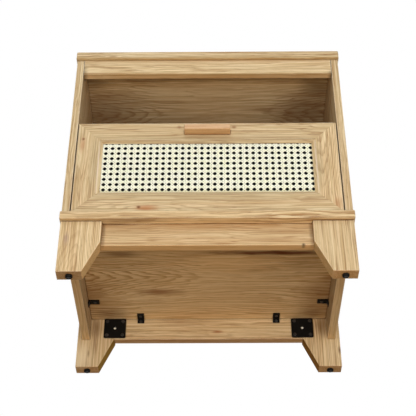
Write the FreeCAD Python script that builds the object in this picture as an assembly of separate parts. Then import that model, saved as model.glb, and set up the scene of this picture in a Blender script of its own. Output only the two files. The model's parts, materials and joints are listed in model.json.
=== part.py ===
# Nightstand: an open niche above a cane-fronted drawer, in a board carcass on four tapered board legs.
# Millimetres. X runs to the right, Y to the back and Z up, and the front faces -Y.
# The origin is on the floor, under the centre of the whole box, the pull included.
import FreeCAD, Part
import math
import os

Vector = FreeCAD.Vector

# Carcass boards
carcass_width = 552.0
carcass_depth = 375.0
side_height = 410.0
side_thickness = 15.0
side_edge_radius = 1.0
top_thickness = 22.0
top_front_overhang = 5.0
top_side_overhang = 2.5
top_edge_radius = 3.0
base_thickness = 18.0
base_front_overhang = 8.0
base_side_overhang = 2.0
base_edge_radius = 2.0

# Niche, its shelf and the rail above it
niche_height = 181.0
shelf_thickness = 15.0
shelf_back_gap = 0.3
rail_height = 41.0
rail_thickness = 15.0
rail_end_gap = 0.8
rail_edge_radius = 0.8

# Back panel in its groove
back_thickness = 4.0
back_inset = 12.0
groove_depth = 6.0
groove_side_gap = 0.2
groove_end_gap = 0.5

# Legs, aprons and glides
leg_height = 115.0
leg_width = 77.5
leg_thickness = 27.0
foot_width = 47.0
taper_height = 67.0
leg_inset = 0.5
leg_edge_radius = 1.0
apron_height = 50.0
apron_thickness = 16.5
apron_edge_radius = 0.8
side_apron_inset = 9.5
glide_height = 5.0
glide_radius = 6.6
glide_flat_radius = 4.2
glide_rim_height = 2.5
glide_nail_radius = 1.2
glide_nail_length = 16.0

# Joining plates and angle brackets of the base
plate_size = 46.0
plate_thickness = 2.0
plate_drop = 0.5
plate_corner_radius = 3.0
plate_hole_radius = 3.0
plate_screw_spacing = 33.0
bracket_width = 14.0
bracket_long_leg = 23.0
bracket_short_leg = 10.0
bracket_thickness = 2.0
bracket_bend_radius = 1.2
bracket_long_hole = 14.0
bracket_short_hole = 6.5
bracket_from_apron_end = 54.5
side_bracket_from_back = 96.5

# Dowels and cam fittings of the carcass
dowel_radius = 4.0
dowel_gap = 0.1
dowel_end_gap = 0.5
dowel_end_depth = 17.0
face_hole_cover = 5.0
top_hole_cover = 9.0
leg_dowel_from_edge = 14.0
leg_dowel_spacing = 20.0
apron_end_dowel_spacing = 15.0
side_apron_dowel_wall = 3.0
side_apron_dowel_spacing = 18.0
carcass_dowel_from_front = 70.0
carcass_dowel_from_back = 95.0
rail_dowel_inset = 60.0
cam_radius = 7.4
cam_cover = 2.5
cam_reach = 26.0
cam_from_front = 27.0
cam_from_back = 60.0
cam_bolt_radius = 3.0
cam_bolt_head = 3.0
cam_bolt_neck_radius = 2.0
cam_hole_gap = 0.15
cam_slot_width = 1.4
cam_slot_length = 8.0
cam_slot_depth = 1.5

# Drawer front: mitred frame, cane and backing
front_thickness = 18.0
front_side_gap = 2.0
front_bottom_gap = 2.0
front_stop_gap = 1.0
front_edge_radius = 1.0
frame_width = 51.5
bevel_width = 8.0
bevel_depth = 4.3
lip_land = 0.7
rebate_width = 10.0
rebate_gap = 0.5
cane_thickness = 1.5
cane_column_pitch = 12.7
cane_row_pitch = 13.22
cane_column_shift = 1.8
cane_row_shift = -1.5
cane_hole_size = 6.4
backing_thickness = 3.0
strip_width = 9.0
strip_setback = 0.5

# Pull
pull_width = 92.0
pull_height = 13.0
pull_depth = 17.0
pull_drop = 24.0
pull_edge_radius = 1.5
pull_screw_spacing = 64.0
pull_screw_bite = 11.0
pull_screw_recess = 3.0

# Drawer box
drawer_side_thickness = 12.0
drawer_back_thickness = 12.0
drawer_bottom_thickness = 4.0
drawer_bottom_rise = 10.0
drawer_groove_depth = 5.0
drawer_lift = 14.0
drawer_top_room = 50.0
drawer_rear_room = 26.0
drawer_cam_radius = 5.9
drawer_cam_inset = 28.0
drawer_screw_inset = 24.0

# Ball-bearing slides, three members on each side
slide_height = 45.0
slide_space = 12.7
slide_wall = 1.2
slide_front_gap = 2.0
slide_back_margin = 13.0
slide_lip_gap = 0.7
slide_outer_short = 2.2
slide_web_gap = 2.0
slide_middle_short = 0.6
slide_inner_gap = 1.0
slide_screw_inset = 35.0
ball_radius = 1.54
ball_gap = 0.06
ball_hole_gap = 0.2
balls_in_row = 6
cage_wall = 0.8
cage_web_gap = 0.5
cage_lip_gap = 0.9
cage_strip_gap = 0.35
cage_end_margin = 5.0

# Screws
plate_screw_radius = 1.75
plate_screw_head_radius = 3.6
plate_screw_head_height = 1.6
bracket_screw_radius = 1.5
bracket_screw_head_radius = 3.1
bracket_screw_head_height = 1.4
pull_screw_radius = 2.0
pull_screw_head_radius = 4.0
pull_screw_head_height = 2.4
flat_screw_radius = 1.7
flat_screw_head_radius = 3.3
flat_screw_head_depth = 1.9
flat_screw_cover = 3.0
screw_hole_gap = 0.15
screw_end_gap = 0.4
screw_tip = 3.0

# Levels and planes that follow from the sizes above
front_y = pull_depth - (carcass_depth + pull_depth) / 2
back_y = front_y + carcass_depth
middle_y = (front_y + back_y) / 2
base_bottom = glide_height + leg_height
base_top = base_bottom + base_thickness
side_top = base_top + side_height
outer_x = carcass_width / 2
inner_x = outer_x - side_thickness
shelf_top = side_top - niche_height
shelf_bottom = shelf_top - shelf_thickness
shelf_front_y = front_y + front_thickness + front_stop_gap
back_panel_y = back_y - back_inset - back_thickness
apron_bottom = base_bottom - apron_height
leg_inner_y = front_y + leg_inset + leg_thickness
leg_inner_x = outer_x - leg_width
side_apron_x = outer_x - side_apron_inset
side_apron_inner_x = side_apron_x - apron_thickness
plate_center_z = base_bottom - plate_drop - plate_size / 2
base_hole_depth = base_thickness - face_hole_cover
top_hole_depth = top_thickness - top_hole_cover
side_hole_depth = side_thickness - face_hole_cover
front_half_width = inner_x - front_side_gap
front_bottom = base_top + front_bottom_gap
opening_x = front_half_width - frame_width
opening_bottom = front_bottom + frame_width
opening_top = shelf_top - frame_width
lip_thickness = bevel_depth + lip_land
strip_thickness = front_thickness - lip_thickness - cane_thickness - backing_thickness - strip_setback
box_front_y = front_y + front_thickness
box_back_y = back_panel_y - drawer_rear_room
box_bottom = base_top + drawer_lift
box_top = shelf_bottom - drawer_top_room
drawer_outer_x = inner_x - slide_space
drawer_inner_x = drawer_outer_x - drawer_side_thickness
slide_front_y = box_front_y + slide_front_gap
slide_length = box_back_y - slide_back_margin - slide_front_y
slide_center_z = (box_bottom + box_top) / 2
slide_outer_reach = slide_space - slide_outer_short
slide_middle_start = slide_wall + slide_web_gap
slide_middle_end = slide_space - slide_wall - slide_middle_short
slide_inner_start = slide_middle_start + slide_wall + slide_inner_gap
cage_web_start = slide_wall + cage_web_gap
cage_flange_end = slide_outer_reach - slide_wall - cage_lip_gap


# Basic shapes

def block(low, high):
    size = Vector(*high).sub(Vector(*low))
    return Part.makeBox(size.x, size.y, size.z, Vector(*low))


def rod(start, direction, length, radius):
    return Part.makeCylinder(radius, length, start, direction)


def prism(points, along):
    # Sweep a flat outline, given by its corners, along a vector.
    corners = [Vector(*point) for point in points]
    outline = Part.makePolygon(corners + corners[:1])
    return Part.Face(outline).extrude(along)


def spans(edge, axis):
    # The lowest and highest value of an edge along an axis.
    box = edge.BoundBox
    limits = {"x": (box.XMin, box.XMax), "y": (box.YMin, box.YMax), "z": (box.ZMin, box.ZMax)}
    return limits[axis]


def lies_at(edge, axis, level):
    low, high = spans(edge, axis)
    return abs(low - level) < 1e-4 and abs(high - level) < 1e-4


def runs_along(edge, axis):
    return all(lies_at(edge, other, spans(edge, other)[0]) for other in "xyz" if other != axis)


def eased(shape, radius, chosen):
    # Round the edges that a test picks.
    return shape.makeFillet(radius, [edge for edge in shape.Edges if chosen(edge)])


def placed(shape, seat, direction):
    # Move a shape made on the origin, pointing down -Z, to its seat.
    turn = FreeCAD.Rotation(Vector(0, 0, -1), direction)
    return shape.transformed(FreeCAD.Placement(seat, turn).toMatrix())


def other_side(shape):
    return shape.mirror(Vector(0, 0, 0), Vector(1, 0, 0))


def other_end(shape):
    return shape.mirror(Vector(0, middle_y, 0), Vector(0, 1, 0))


def both_sides(shape):
    return [shape, other_side(shape)]


def four_corners(shape):
    return both_sides(shape) + both_sides(other_end(shape))


def drilled(piece, holes):
    # Cut every fastener hole that reaches into a piece.
    reaching = [hole for hole in holes if hole.BoundBox.intersect(piece.BoundBox)]
    return piece.cut(reaching).Solids[0] if reaching else piece


# Fasteners: each returns the solid and the hole that it needs

def dowel(joint, direction, depth_behind, depth_ahead):
    start = joint - direction * depth_behind
    length = depth_behind + depth_ahead
    pin = rod(start + direction * dowel_end_gap, direction, length - 2 * dowel_end_gap, dowel_radius)
    return pin, rod(start, direction, length, dowel_radius + dowel_gap)


def screw_recess(head_radius, depth, top):
    arm = head_radius * 0.6
    half = head_radius * 0.13
    first = block((-arm, -half, top - depth), (arm, half, top))
    second = block((-half, -arm, top - depth), (half, arm, top))
    return first.fuse(second)


def screw_shank(radius, length):
    straight = rod(Vector(0, 0, 0), Vector(0, 0, -1), length - screw_tip, radius)
    tip = Part.makeCone(radius, radius * 0.2, screw_tip, Vector(0, 0, screw_tip - length), Vector(0, 0, -1))
    return straight.fuse(tip)


def pan_screw(seat, direction, radius, length, head_radius, head_height):
    head = rod(Vector(0, 0, 0), Vector(0, 0, 1), head_height, head_radius)
    head = eased(head, head_height * 0.6, lambda edge: lies_at(edge, "z", head_height))
    head = head.cut(screw_recess(head_radius, head_height * 0.6, head_height))
    screw = head.fuse(screw_shank(radius, length)).removeSplitter()
    hole = rod(Vector(0, 0, 0), Vector(0, 0, -1), length + screw_end_gap, radius + screw_hole_gap)
    return placed(screw, seat, direction), placed(hole, seat, direction)


def flat_screw(seat, direction, length):
    # A countersunk screw, its head flush with the seat.
    down = Vector(0, 0, -1)
    cone = Part.makeCone(flat_screw_head_radius, flat_screw_radius, flat_screw_head_depth,
                         Vector(0, 0, 0), down)
    screw = cone.fuse(screw_shank(flat_screw_radius, length)).removeSplitter()
    screw = screw.cut(screw_recess(flat_screw_head_radius, flat_screw_head_depth * 0.6, 0))
    wide = Part.makeCone(flat_screw_head_radius + screw_hole_gap, flat_screw_radius + screw_hole_gap,
                         flat_screw_head_depth, Vector(0, 0, 0), down)
    bore = rod(Vector(0, 0, 0), down, length + screw_end_gap, flat_screw_radius + screw_hole_gap)
    return placed(screw, seat, direction), placed(wide.fuse(bore), seat, direction)


def cam_fitting(joint, direction, cam_face, board_thickness, bolt_depth, radius):
    # A bolt runs from the board behind the joint to a cam let into a face of the board ahead of it.
    # The joint is at mid thickness of the board ahead, and cam_face points out of the cam's face.
    center = joint + direction * cam_reach
    top = center + cam_face * (board_thickness / 2)
    depth = board_thickness - cam_cover
    straight = cam_reach - 2 * cam_bolt_head + bolt_depth - dowel_end_gap
    start = joint - direction * (bolt_depth - dowel_end_gap)
    bolt = rod(start, direction, straight, cam_bolt_radius)
    bolt = bolt.fuse(rod(start + direction * straight, direction, cam_bolt_head, cam_bolt_neck_radius))
    bolt = bolt.fuse(rod(center - direction * cam_bolt_head, direction, cam_bolt_head, cam_bolt_radius))
    bolt_hole = rod(joint - direction * bolt_depth, direction, bolt_depth + cam_reach + cam_hole_gap,
                    cam_bolt_radius + cam_hole_gap)
    cam = rod(top, -cam_face, depth - cam_hole_gap, radius).cut(bolt_hole)
    across = direction.cross(cam_face)
    slot = prism([top + direction * x * cam_slot_length / 2 + across * y * cam_slot_width / 2
                  for x, y in ((-1, -1), (1, -1), (1, 1), (-1, 1))], -cam_face * cam_slot_depth)
    cam_hole = rod(top, -cam_face, depth, radius + cam_hole_gap)
    return bolt.removeSplitter(), cam.cut(slot), bolt_hole, cam_hole


# Carcass boards

def grooved_board(low, high, edge_radius, square_level):
    # A board with rounded edges except at its back, and the back panel's groove in one face.
    board = eased(block(low, high), edge_radius, lambda edge: not lies_at(edge, "y", back_y))
    groove = block((-inner_x - groove_depth, back_panel_y - groove_side_gap, square_level - groove_depth),
                   (inner_x + groove_depth, back_panel_y + back_thickness + groove_side_gap,
                    square_level + groove_depth))
    return board.cut(groove)


def make_side_panel():
    panel = block((-outer_x, front_y, base_top), (-inner_x, back_y, side_top))
    panel = eased(panel, side_edge_radius, lambda edge: lies_at(edge, "y", front_y) and runs_along(edge, "z"))
    groove = block((-inner_x - groove_depth, back_panel_y - groove_side_gap, base_top),
                   (-inner_x, back_panel_y + back_thickness + groove_side_gap, side_top))
    return panel.cut(groove)


def make_back_panel():
    reach = groove_depth - groove_end_gap
    return block((-inner_x - reach, back_panel_y, base_top - reach),
                 (inner_x + reach, back_panel_y + back_thickness, side_top + reach))


def make_shelf():
    return block((-inner_x, shelf_front_y, shelf_bottom), (inner_x, back_panel_y - shelf_back_gap, shelf_top))


def make_top_rail():
    half = inner_x - rail_end_gap
    low = side_top - rail_height
    rail = block((-half, front_y, low), (half, front_y + rail_thickness, side_top))
    return eased(rail, rail_edge_radius, lambda edge: lies_at(edge, "z", low) and runs_along(edge, "x"))


# Base: legs, aprons, plates and brackets, made at the front left

def make_leg():
    near = front_y + leg_inset
    outline = [(-outer_x, near, glide_height), (-outer_x + foot_width, near, glide_height),
               (-leg_inner_x, near, glide_height + taper_height), (-leg_inner_x, near, base_bottom),
               (-outer_x, near, base_bottom)]
    leg = prism(outline, Vector(0, leg_thickness, 0))
    return eased(leg, leg_edge_radius, lambda edge: not lies_at(edge, "z", base_bottom))


def make_front_apron():
    apron = block((-leg_inner_x, leg_inner_y - apron_thickness, apron_bottom),
                  (leg_inner_x, leg_inner_y, base_bottom))
    return eased(apron, apron_edge_radius,
                 lambda edge: lies_at(edge, "z", apron_bottom) and runs_along(edge, "x"))


def make_left_apron():
    far = 2 * middle_y - leg_inner_y
    apron = block((-side_apron_x, leg_inner_y, apron_bottom), (-side_apron_inner_x, far, base_bottom))
    return eased(apron, apron_edge_radius,
                 lambda edge: lies_at(edge, "z", apron_bottom) and runs_along(edge, "y"))


def make_plate():
    half = plate_size / 2
    plate = block((-leg_inner_x - half, leg_inner_y, plate_center_z - half),
                  (-leg_inner_x + half, leg_inner_y + plate_thickness, plate_center_z + half))
    plate = eased(plate, plate_corner_radius, lambda edge: runs_along(edge, "y"))
    middle = Vector(-leg_inner_x, leg_inner_y, plate_center_z)
    return plate.cut(rod(middle, Vector(0, 1, 0), plate_thickness, plate_hole_radius))


def make_plate_screws():
    bite = apron_thickness - flat_screw_cover
    screws, holes = [], []
    for x in (-1, 1):
        for z in (-1, 1):
            seat = Vector(-leg_inner_x + x * plate_screw_spacing / 2, leg_inner_y + plate_thickness,
                          plate_center_z + z * plate_screw_spacing / 2)
            screw, hole = pan_screw(seat, Vector(0, -1, 0), plate_screw_radius, bite + plate_thickness,
                                    plate_screw_head_radius, plate_screw_head_height)
            screws.append(screw)
            holes.append(hole)
    return screws, holes


def angle_bracket(corner, inward, along):
    # An angle in the corner under the base board: its long leg on the board, its short leg on an apron.
    # inward points off the apron's face, and along runs down the apron's length.
    down = Vector(0, 0, -1)
    start = corner - along * (bracket_width / 2)
    steps = [(0, 0), (bracket_long_leg, 0), (bracket_long_leg, bracket_thickness),
             (bracket_thickness, bracket_thickness), (bracket_thickness, bracket_short_leg),
             (0, bracket_short_leg)]
    angle = prism([start + inward * a + down * b for a, b in steps], along * bracket_width)
    bend = start + inward * bracket_thickness + down * bracket_thickness

    def in_bend(edge):
        ends = [vertex.Point for vertex in edge.Vertexes]
        return all((end - bend).cross(along).Length < 1e-4 for end in ends)

    angle = eased(angle, bracket_bend_radius, in_bend)
    bite = apron_thickness - flat_screw_cover
    screws, holes = [], []
    seats = [(corner + inward * bracket_long_hole + down * bracket_thickness, -down),
             (corner + inward * bracket_thickness + down * bracket_short_hole, -inward)]
    for seat, direction in seats:
        screw, hole = pan_screw(seat, direction, bracket_screw_radius, bite, bracket_screw_head_radius,
                                bracket_screw_head_height)
        screws.append(screw)
        holes.append(hole)
    return angle, screws, holes


def make_glide():
    # A nail-on glide: a domed disc with a flat to stand on, and its nail up the leg.
    center = Vector(-outer_x + foot_width / 2, front_y + leg_inset + leg_thickness / 2, 0)
    slope = glide_radius - glide_flat_radius
    bulge = Vector(glide_flat_radius + slope * math.sin(math.pi / 4), 0,
                   glide_rim_height * (1 - math.cos(math.pi / 4)))
    shoulder = Vector(glide_radius, 0, glide_rim_height)
    rim = Part.Arc(Vector(glide_flat_radius, 0, 0), bulge, shoulder).toShape()
    corners = [shoulder, Vector(glide_radius, 0, glide_height),
               Vector(glide_nail_radius, 0, glide_height),
               Vector(glide_nail_radius, 0, glide_height + glide_nail_length),
               Vector(0, 0, glide_height + glide_nail_length), Vector(0, 0, 0),
               Vector(glide_flat_radius, 0, 0)]
    profile = Part.Wire([rim] + Part.makePolygon(corners).Edges)
    glide = Part.Face(profile).revolve(Vector(0, 0, 0), Vector(0, 0, 1), 360)
    glide.translate(center)
    hole = rod(center + Vector(0, 0, glide_height), Vector(0, 0, 1), glide_nail_length + screw_end_gap,
               glide_nail_radius + screw_hole_gap)
    return Part.Solid(glide.Shells[0]), hole


# Drawer front

def frame_outline(grow, y):
    # The corners of the cane opening, grown outwards, in order from the lower left.
    left, right = -opening_x - grow, opening_x + grow
    low, high = opening_bottom - grow, opening_top + grow
    return [(left, y, low), (right, y, low), (right, y, high), (left, y, high)]


def make_front_frame():
    # The whole frame, cut along its mitres into a bottom rail, right stile, top rail and left stile.
    outer = [(-front_half_width, front_y, front_bottom), (front_half_width, front_y, front_bottom),
             (front_half_width, front_y, shelf_top), (-front_half_width, front_y, shelf_top)]
    frame = eased(prism(outer, Vector(0, front_thickness, 0)), front_edge_radius,
                  lambda edge: lies_at(edge, "y", front_y))
    wide = [Vector(*corner) for corner in frame_outline(bevel_width, front_y)]
    narrow = [Vector(*corner) for corner in frame_outline(0, front_y + bevel_depth)]
    rims = [Part.makePolygon(corners + corners[:1]) for corners in (wide, narrow)]
    bevel = Part.makeLoft(rims, True, True)
    through = prism(frame_outline(0, front_y), Vector(0, front_thickness, 0))
    rebate = prism(frame_outline(rebate_width, front_y + lip_thickness), Vector(0, front_thickness, 0))
    frame = frame.cut([bevel, through, rebate])
    inner = frame_outline(0, front_y)
    members = []
    for here in range(4):
        after = (here + 1) % 4
        wedge = prism([outer[here], outer[after], inner[after], inner[here]], Vector(0, front_thickness, 0))
        members.append(frame.common(wedge).Solids[0])
    return members


def panel_in_rebate(y, thickness):
    reach = rebate_width - rebate_gap
    return prism(frame_outline(reach, y), Vector(0, thickness, 0))


def make_cane():
    # Woven cane: one flat sheet with an eight-sided gap at every crossing of its rows and columns.
    y = front_y + lip_thickness
    columns = int((2 * opening_x - cane_hole_size) / cane_column_pitch) + 1
    rows = int((opening_top - opening_bottom - cane_hole_size) / cane_row_pitch) + 1
    middle_z = (opening_bottom + opening_top) / 2
    corner_radius = cane_hole_size / 2 / math.cos(math.pi / 8)
    sheet = [Vector(*corner) for corner in frame_outline(rebate_width - rebate_gap, y)]
    wires = [Part.makePolygon(sheet + sheet[:1])]
    for column in range(columns):
        for row in range(rows):
            x = cane_column_shift + (column - (columns - 1) / 2) * cane_column_pitch
            z = middle_z + cane_row_shift + (row - (rows - 1) / 2) * cane_row_pitch
            turns = [math.pi / 8 + step * math.pi / 4 for step in range(8)]
            gap = [Vector(x + corner_radius * math.cos(turn), y, z + corner_radius * math.sin(turn))
                   for turn in turns]
            wires.append(Part.makePolygon(gap + gap[:1]))
    return Part.makeFace(wires, "Part::FaceMakerBullseye").extrude(Vector(0, cane_thickness, 0))


def make_strips():
    # Four beads that hold the cane and its backing in the rebate.
    near = front_y + lip_thickness + cane_thickness + backing_thickness
    reach = rebate_width - rebate_gap
    left, right = -opening_x - reach, opening_x + reach
    low, high = opening_bottom - reach, opening_top + reach
    far = near + strip_thickness
    return [block((left, near, low), (right, far, low + strip_width)),
            block((left, near, high - strip_width), (right, far, high)),
            block((left, near, low + strip_width), (left + strip_width, far, high - strip_width)),
            block((right - strip_width, near, low + strip_width), (right, far, high - strip_width))]


def make_pull():
    center_z = shelf_top - pull_drop
    half = pull_height / 2
    bar = block((-pull_width / 2, front_y - pull_depth, center_z - half),
                (pull_width / 2, front_y, center_z + half))
    return eased(bar, pull_edge_radius, lambda edge: not lies_at(edge, "y", front_y))


def make_pull_screw():
    # The head sits in a counterbore at the back of the frame, and the shank runs through into the bar.
    seat = Vector(-pull_screw_spacing / 2, box_front_y - pull_screw_recess, shelf_top - pull_drop)
    length = front_thickness - pull_screw_recess + pull_screw_bite
    screw, hole = pan_screw(seat, Vector(0, -1, 0), pull_screw_radius, length, pull_screw_head_radius,
                            pull_screw_head_height)
    counterbore = rod(seat, Vector(0, 1, 0), pull_screw_recess, pull_screw_head_radius + screw_hole_gap)
    return screw, hole.fuse(counterbore)


# Drawer box

def make_drawer_groove():
    # The room for the bottom panel, in the sides, the back and the lower front rail.
    low = box_bottom + drawer_bottom_rise
    reach = drawer_groove_depth
    return block((-drawer_inner_x - reach, box_front_y - reach, low - groove_side_gap),
                 (drawer_inner_x + reach, box_back_y - drawer_back_thickness + reach,
                  low + drawer_bottom_thickness + groove_side_gap))


def make_drawer_bottom():
    low = box_bottom + drawer_bottom_rise
    reach = drawer_groove_depth - groove_end_gap
    return block((-drawer_inner_x - reach, box_front_y - reach, low),
                 (drawer_inner_x + reach, box_back_y - drawer_back_thickness + reach,
                  low + drawer_bottom_thickness))


def make_drawer_side():
    return block((-drawer_outer_x, box_front_y, box_bottom), (-drawer_inner_x, box_back_y, box_top))


def make_drawer_back():
    return block((-drawer_inner_x, box_back_y - drawer_back_thickness, box_bottom),
                 (drawer_inner_x, box_back_y, box_top))


# Slides: a section's points are the distance from the left side panel and the height from the slide's middle

def slide_section(points, start_y, length):
    return prism([(-inner_x + across, start_y, slide_center_z + up) for across, up in points],
                 Vector(0, length, 0))


race_gap = 2 * (ball_radius + ball_gap)
outer_half = slide_height / 2
outer_race = outer_half - slide_wall
middle_half = outer_race - race_gap
middle_race = middle_half - slide_wall
inner_half = middle_race - race_gap


def make_slide_outer():
    end = slide_outer_reach
    lip = middle_half + slide_lip_gap
    upper = [(slide_wall, outer_race), (end - slide_wall, outer_race), (end - slide_wall, lip), (end, lip),
             (end, outer_half), (0, outer_half)]
    lower = [(across, -up) for across, up in reversed(upper)]
    return slide_section(upper + lower, slide_front_y, slide_length)


def channel(web, web_inside, flange_end, half, wall):
    upper = [(web_inside, half - wall), (flange_end, half - wall), (flange_end, half), (web, half)]
    return upper + [(across, -up) for across, up in reversed(upper)]


def make_slide_middle():
    section = channel(slide_middle_start, slide_middle_start + slide_wall, slide_middle_end, middle_half,
                      slide_wall)
    return slide_section(section, slide_front_y, slide_length)


def make_slide_inner():
    section = channel(slide_space, slide_space - slide_wall, slide_inner_start, inner_half, slide_wall)
    return slide_section(section, slide_front_y, slide_length)


# Ball cages travel half as far as the member they run on, so they start behind the slide's front end
cage_length = slide_length / 2 - 2 * cage_end_margin
cage_start_y = slide_front_y + slide_length / 4 + cage_end_margin


def ball_places(across, up):
    step = cage_length / balls_in_row
    return [Vector(-inner_x + across, cage_start_y + step * (place + 0.5), slide_center_z + up)
            for place in range(balls_in_row)]


def make_cage(cage, across, up):
    # Balls above and below the middle line, each in its own hole of the cage.
    solids = []
    for side in (-1, 1):
        for place in ball_places(across, side * up):
            span = Vector(0, 0, ball_radius)
            cage = cage.cut(rod(place - span, Vector(0, 0, 1), 2 * ball_radius, ball_radius + ball_hole_gap))
            solids.append(Part.makeSphere(ball_radius, place))
    return cage.Solids + solids


def make_outer_cage():
    up = outer_race - race_gap / 2
    section = channel(cage_web_start, cage_web_start + cage_wall, cage_flange_end, up + cage_wall / 2,
                      cage_wall)
    across = cage_flange_end - ball_radius - ball_hole_gap - cage_wall
    return make_cage(slide_section(section, cage_start_y, cage_length), across, up)


def make_inner_cage():
    up = middle_race - race_gap / 2
    start, end = slide_inner_start + cage_strip_gap, slide_middle_end - cage_strip_gap
    strips = []
    for side in (-1, 1):
        low, high = side * up - cage_wall / 2, side * up + cage_wall / 2
        section = [(start, low), (end, low), (end, high), (start, high)]
        strips.append(slide_section(section, cage_start_y, cage_length))
    return make_cage(Part.makeCompound(strips), (start + end) / 2, up)


def slide_screw_places():
    end = slide_front_y + slide_length
    first, last = slide_front_y + slide_screw_inset, end - slide_screw_inset
    return [first, (first + last) / 2, last]


# Gather the cabinet's fasteners, with the holes that they need
up, left, back = Vector(0, 0, 1), Vector(-1, 0, 0), Vector(0, 1, 0)
cabinet_holes, dowels, cam_bolts, cam_locks = [], [], [], []


def add_dowel(joint, direction, depth_behind, depth_ahead, copies):
    pin, hole = dowel(joint, direction, depth_behind, depth_ahead)
    dowels.extend(copies(pin))
    cabinet_holes.extend(copies(hole))


def add_cam(joint, direction, cam_face, board_thickness, bolt_depth):
    bolt, cam, bolt_hole, cam_hole = cam_fitting(joint, direction, cam_face, board_thickness, bolt_depth,
                                                 cam_radius)
    cam_bolts.extend(both_sides(bolt))
    cam_locks.extend(both_sides(cam))
    cabinet_holes.extend(both_sides(bolt_hole) + both_sides(cam_hole))


leg_middle_y = leg_inner_y - leg_thickness / 2
for place in (leg_dowel_from_edge, leg_dowel_from_edge + leg_dowel_spacing):
    add_dowel(Vector(-outer_x + place, leg_middle_y, base_bottom), up, dowel_end_depth, base_hole_depth,
              four_corners)
for side in (-1, 1):
    height = plate_center_z + side * apron_end_dowel_spacing / 2
    add_dowel(Vector(-leg_inner_x, leg_inner_y - apron_thickness / 2, height), left, dowel_end_depth,
              dowel_end_depth, four_corners)
side_apron_middle_x = (side_apron_x + side_apron_inner_x) / 2
first_drop = dowel_end_depth + dowel_radius + side_apron_dowel_wall
for drop in (first_drop, first_drop + side_apron_dowel_spacing):
    add_dowel(Vector(-side_apron_middle_x, leg_inner_y, base_bottom - drop), back, leg_thickness / 2,
              dowel_end_depth, four_corners)

panel_middle_x = (outer_x + inner_x) / 2
shelf_middle_z = (shelf_top + shelf_bottom) / 2
for y in (front_y + carcass_dowel_from_front, back_y - carcass_dowel_from_back):
    add_dowel(Vector(-panel_middle_x, y, base_top), up, base_hole_depth, dowel_end_depth, both_sides)
    add_dowel(Vector(-panel_middle_x, y, side_top), up, dowel_end_depth, top_hole_depth, both_sides)
    add_dowel(Vector(-inner_x, y, shelf_middle_z), left, dowel_end_depth, side_hole_depth, both_sides)
for y in (front_y + cam_from_front, back_y - cam_from_back):
    add_cam(Vector(-panel_middle_x, y, base_top), up, -left, side_thickness, base_hole_depth)
    add_cam(Vector(-panel_middle_x, y, side_top), -up, -left, side_thickness, top_hole_depth)
for y in (shelf_front_y + cam_from_front, back_y - cam_from_back):
    add_cam(Vector(-inner_x, y, shelf_middle_z), -left, -up, shelf_thickness, side_hole_depth)

rail_middle_y = front_y + rail_thickness / 2
add_dowel(Vector(-inner_x + rail_dowel_inset, rail_middle_y, side_top), up, dowel_end_depth, top_hole_depth,
          both_sides)
add_dowel(Vector(-inner_x, rail_middle_y, side_top - rail_height / 2), left, dowel_end_depth, side_hole_depth,
          both_sides)

plate_screws, plate_holes = make_plate_screws()
cabinet_holes += [copy for hole in plate_holes for copy in four_corners(hole)]
corner_bracket, corner_screws, corner_holes = angle_bracket(
    Vector(-leg_inner_x + bracket_from_apron_end, leg_inner_y, base_bottom), back, -left)
side_bracket, side_screws, side_holes = angle_bracket(
    Vector(-side_apron_inner_x, back_y - side_bracket_from_back, base_bottom), -left, back)
cabinet_holes += [copy for hole in corner_holes for copy in four_corners(hole)]
cabinet_holes += [copy for hole in side_holes for copy in both_sides(hole)]
glide, glide_hole = make_glide()
cabinet_holes += four_corners(glide_hole)

slide_cabinet_screws, slide_drawer_screws = [], []
drawer_holes = []
for y in slide_screw_places():
    screw, hole = flat_screw(Vector(-inner_x + slide_wall, y, slide_center_z), left,
                             side_thickness - flat_screw_cover)
    slide_cabinet_screws += both_sides(screw)
    cabinet_holes += both_sides(hole)
    screw, hole = flat_screw(Vector(-drawer_outer_x - slide_wall, y, slide_center_z), -left,
                             drawer_side_thickness - flat_screw_cover)
    slide_drawer_screws += both_sides(screw)
    drawer_holes += both_sides(hole)

# Gather the drawer's fasteners
drawer_bolts, drawer_cams, drawer_back_screws = [], [], []
side_middle_x = (drawer_outer_x + drawer_inner_x) / 2
for z in (box_bottom + drawer_cam_inset, box_top - drawer_cam_inset):
    bolt, cam, bolt_hole, cam_hole = cam_fitting(
        Vector(-side_middle_x, box_front_y, z), back, -left, drawer_side_thickness,
        front_thickness - face_hole_cover, drawer_cam_radius)
    drawer_bolts += both_sides(bolt)
    drawer_cams += both_sides(cam)
    drawer_holes += both_sides(bolt_hole) + both_sides(cam_hole)
    seat = Vector(-drawer_outer_x, box_back_y - drawer_back_thickness / 2, z)
    screw, hole = flat_screw(seat, -left, drawer_side_thickness + drawer_screw_inset)
    drawer_back_screws += both_sides(screw)
    drawer_holes += both_sides(hole)
pull_screw, pull_hole = make_pull_screw()
drawer_holes += both_sides(pull_hole)
drawer_holes.append(make_drawer_groove())

# The pieces, by node name
pieces = {
    "top_board": [grooved_board((-outer_x - top_side_overhang, front_y - top_front_overhang, side_top),
                                (outer_x + top_side_overhang, back_y, side_top + top_thickness),
                                top_edge_radius, side_top)],
    "base_board": [grooved_board((-outer_x - base_side_overhang, front_y - base_front_overhang, base_bottom),
                                 (outer_x + base_side_overhang, back_y, base_top),
                                 base_edge_radius, base_top)],
    "left_side_panel": [make_side_panel()],
    "right_side_panel": [other_side(make_side_panel())],
    "niche_shelf": [make_shelf()],
    "back_panel": [make_back_panel()],
    "top_front_rail": [make_top_rail()],
    "front_apron": [make_front_apron()],
    "rear_apron": [other_end(make_front_apron())],
    "left_apron": [make_left_apron()],
    "right_apron": [other_side(make_left_apron())],
    "left_bracket": [side_bracket],
    "right_bracket": [other_side(side_bracket)],
    "left_slide_outer": [make_slide_outer()],
    "right_slide_outer": [other_side(make_slide_outer())],
}
corner_names = ("front_left", "front_right", "rear_left", "rear_right")
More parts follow.
